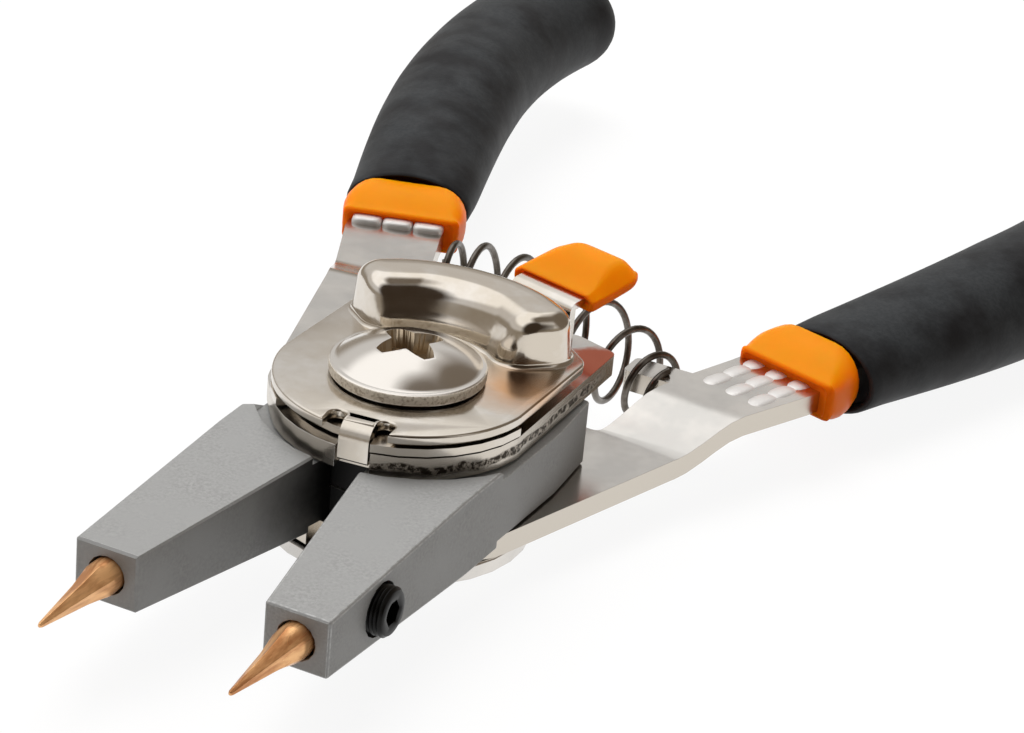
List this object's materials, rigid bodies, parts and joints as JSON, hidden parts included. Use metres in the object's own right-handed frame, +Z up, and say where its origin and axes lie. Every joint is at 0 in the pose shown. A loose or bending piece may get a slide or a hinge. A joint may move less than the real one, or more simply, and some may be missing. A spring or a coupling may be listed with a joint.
{
  "type": "circlip pliers",
  "caption": "Convertible circlip pliers with a shift lever, replaceable straight points, a coil return spring and sleeved handles.",
  "frame": {"origin": "the flat underside of the pivot nut, on the pivot's axis", "axes": "+Z up along the pivot's axis from the nut to the screw head, the points look along -Y and the handles along +Y, +X to the side of the lower handle"},
  "size_m": [0.1214, 0.2137, 0.029],
  "materials": {
    "nickel_plate": "bright nickel plate over stamped steel",
    "bush_steel": "turned steel",
    "sintered_steel": "matt sintered steel with lighter edges",
    "copper_coat": "copper coloured, ground",
    "black_oxide": "black oxide",
    "spring_steel": "drawn spring wire",
    "orange_plastic": "satin orange plastic",
    "dark_foam": "soft charcoal sleeve, faintly mottled"
  },
  "bodies": {
    "pivot": {"pivot_screw": "nickel_plate", "pivot_bush": "bush_steel", "bottom_plate": "nickel_plate", "pivot_nut": "nickel_plate", "return_spring": "spring_steel"},
    "upper_arm": {"upper_handle": "nickel_plate", "cover_plate": "nickel_plate", "left_collar": "orange_plastic", "left_grip": "dark_foam"},
    "lower_arm": {"lower_handle": "nickel_plate", "right_collar": "orange_plastic", "right_grip": "dark_foam"},
    "right_jaw_set": {"right_jaw": "sintered_steel", "right_tip": "copper_coat", "right_tip_screw": "black_oxide", "right_drive_pin": "spring_steel"},
    "left_jaw_set": {"left_jaw": "sintered_steel", "left_tip": "copper_coat", "left_tip_screw": "black_oxide", "left_drive_pin": "spring_steel"},
    "shift_lever_set": {"shift_lever": "nickel_plate", "lever_cap": "orange_plastic", "detent_post": "spring_steel", "detent_spring": "spring_steel"}
  },
  "joints": [
    {"name": "upper_arm_squeeze", "type": "hinge", "parent": "pivot", "child": "upper_arm", "pos_m": [0, 0, 0.0123], "axis": [0, 0, 1], "range_deg": [-9.5, 0], "stiffness_Nm_per_rad": 1.5, "springref_deg": 6.88, "deforming": ["return_spring"]},
    {"name": "lower_arm_squeeze", "type": "hinge", "parent": "pivot", "child": "lower_arm", "pos_m": [0, 0, 0.0123], "axis": [0, 0, 1], "range_deg": [0, 9.5]},
    {"name": "right_jaw_close", "type": "hinge", "parent": "pivot", "child": "right_jaw_set", "pos_m": [0, 0, 0.0123], "axis": [0, 0, 1], "range_deg": [-9.5, 0]},
    {"name": "left_jaw_close", "type": "hinge", "parent": "pivot", "child": "left_jaw_set", "pos_m": [0, 0, 0.0123], "axis": [0, 0, 1], "range_deg": [0, 9.5]},
    {"name": "mode_shift", "type": "hinge", "parent": "upper_arm", "child": "shift_lever_set", "pos_m": [0, 0, 0.0123], "axis": [0, 0, 1], "range_deg": [0, 40]}
  ],
  "couplings": [
    {"joint": "lower_arm_squeeze", "follows": "upper_arm_squeeze", "ratio": -1},
    {"joint": "right_jaw_close", "follows": "upper_arm_squeeze", "ratio": 1},
    {"joint": "left_jaw_close", "follows": "upper_arm_squeeze", "ratio": -1}
  ]
}
